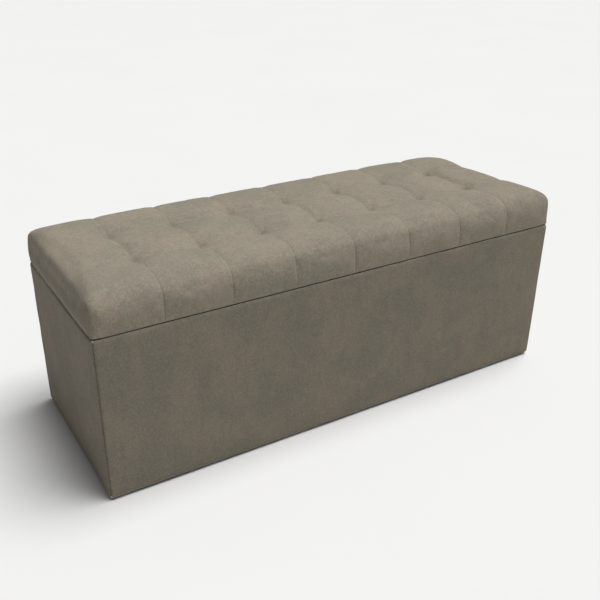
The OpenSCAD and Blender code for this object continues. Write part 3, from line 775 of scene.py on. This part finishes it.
co, out = points(lid_cover), points(lid_cover, "normal")
seam_away, tuft_away = to_seam(co), to_tuft(co)
shown = np.clip((out[:, 2] + 0.5) / 0.3, 0, 1)
open_seam = shown * (1 - bell(tuft_away, 7 * mm))
sewn = bell(seam_away, 1.3 * mm) * open_seam
run = co[:, 1] - co[:, 2] * np.sign(co[:, 1] - bench_mid.y)        # the distance along a seam
tight = 0.45 + 0.55 * bell(np.maximum(edge_distance(co, lid_low, lid_high), 0), 110 * mm)
depth = tight * (0.9 * mm * sewn + 0.5 * mm * bell(seam_away, 5 * mm) * open_seam)
# The seam allowance under the fabric lies to the left of the seam.
depth -= 0.5 * mm * bell(beside_seam(co) + 4.5 * mm, 3 * mm) * open_seam
depth += 0.18 * mm * np.sin(run * 2 * pi / (8.5 * mm)) * bell(seam_away - 4 * mm, 4 * mm) * open_seam
depth += sew_turn * bell(seam_away, 5 * mm) * np.exp(-tuft_away / (20 * mm)) * open_seam
# A short fold runs from each tuft to the back right.
back = beside_row(co)
off_fold = np.abs(beside_seam(co) - 0.8 * back)
fold = bell(off_fold, 5 * mm) * np.exp(-tuft_away / (15 * mm)) * (back > 0) * shown
depth += fold_depth * fold * (1 - bell(tuft_away, 5 * mm))
calm = shown * (1 - bell(tuft_away, 14 * mm))
depth += 0.5 * mm * smooth_noise(co, 30 * mm, 1) * bell(seam_away, 30 * mm) * calm
depth += 0.5 * mm * smooth_noise(co, 70 * mm, 2) * calm
co -= out * depth[:, None]
co[:, 2] -= np.clip(out[:, 2], 0, 1) * stitch_depth * np.exp(-tuft_away / (5 * mm))
rim_away = edge_distance(co, lid_low, lid_high)
co[:, 2] -= 1.1 * mm * bell(np.maximum(rim_away, 0), 12 * mm) * bell(co[:, 2] - lid_low.z, 9 * mm)
put(lid_cover, co)
# Painted shade: the seams, the tufts and the folds behind them are marked to be painted darker.
pinch = 0.62 * np.exp(-np.hypot(beside_seam(co) / 1.5, back - 6 * mm) / (15 * mm)) * shown
mark(lid_cover, "seam", np.maximum(0.62 * sewn * tight, np.maximum(pinch, 0.7 * fold)))
# Painted shade: this mark darkens the sides that face left.
mark(lid_cover, "painted_left_shade", np.clip(-out[:, 0], 0, 1) ** 2)
modify(lid_cover, "SOLIDIFY", thickness=cloth_t, offset=-1)
alone(lid_cover)
bpy.ops.object.shade_smooth()
lid_cover.data.materials.append(brushed_suede("suede_of_the_lid", 1.0).material)
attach(lid_cover, "lid")
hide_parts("lid_cover")

# ---- Lid filling ----
# A foam block on the lid board under four millimetres of fibre wadding, both pressed in at the
# tufts and seams as the cover presses them.
frame_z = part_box("lid_front_rail")[0].z
foam_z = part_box("lid_foam")[0].z
wadding_t = 4 * mm


def inner_shape(name, inset):
    """The filled cover's shape moved in by inset, and a little more under each seam."""
    bpy.ops.mesh.primitive_cube_add()
    shape = bpy.context.object
    shape.name = name
    shape.data = filled_shape.copy()
    edit(shape, "FACE", lambda f: f.normal.z < -0.3)
    bpy.ops.mesh.delete(type="FACE")
    done()
    co, out = points(shape), points(shape, "normal")
    pressed = 2.4 * mm * bell(to_seam(co), 8 * mm) + 1.5 * mm * bell(co[:, 2] - lid_low.z, 10 * mm)
    dents = 3.5 * mm * np.exp(-to_tuft(co) / (8 * mm)) * (out[:, 2] > 0)
    co -= out * (inset + pressed + 0.5 * mm)[:, None]
    co[:, 2] -= dents
    put(shape, co)
    return shape


wadding = inner_shape("wadding_layer", cloth_t + 0.3 * mm)
edit(wadding, "FACE", lambda f: True)
bpy.ops.mesh.bisect(plane_co=(0, 0, frame_z + 3 * mm), plane_no=(0, 0, 1), clear_inner=True)
done()
modify(wadding, "SOLIDIFY", thickness=wadding_t, offset=-1)

foam = inner_shape("foam_block", cloth_t + wadding_t + 0.9 * mm)
edit(foam, "FACE", lambda f: True)
bpy.ops.mesh.bisect(plane_co=(0, 0, foam_z + 0.1 * mm), plane_no=(0, 0, 1), clear_inner=True,
                    use_fill=True)
done()

foam_finish = Finish("cream_foam", {"Specular IOR Level": 0.2, "Subsurface Weight": 0.1})
cells = foam_finish.noise(1.4 * mm, 3, 0.7)
ageing = foam_finish.noise(80 * mm, 2, 0.5)
porous = foam_finish.mix(cells, tone(240, 226, 178), tone(222, 204, 150))
foam_finish.set("Base Color", foam_finish.mix(ageing, porous, tone(232, 214, 158)))
foam_finish.set("Roughness", 0.8 + cells * 0.15)
foam_finish.bump(cells, 0.5 * mm)
for piece, finish, node, slot in ((wadding, fibre_wrap, "lid_wadding", "wadding"),
                                  (foam, foam_finish, "lid_foam", "foam")):
    piece.data.materials.append(finish.material)
    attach(piece, "lid")
    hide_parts(node)

twine = Finish("waxed_twine", {"Specular IOR Level": 0.3})
lay = (twine.axis("Z") * 2200.0 + twine.axis("X") * 1500.0 + twine.axis("Y") * 1500.0).wave()
fuzz = twine.noise(0.6 * mm, 2, 0.6)
twine.set("Base Color", twine.mix(lay.ramp(-0.6, 0.8), tone(150, 132, 102), tone(222, 208, 180)))
twine.set("Roughness", 0.6 + fuzz * 0.3)
twine.bump(lay * 0.5 + 0.5, 0.3 * mm)
dress(twine, "tuft_twines")

# ---- Lid lining ----
# A sheet of the same spunbond over the lid's underside, stapled round its edge.
hang("lid_sheet", "lid_lining", "lid", lining, -1.2 * mm)
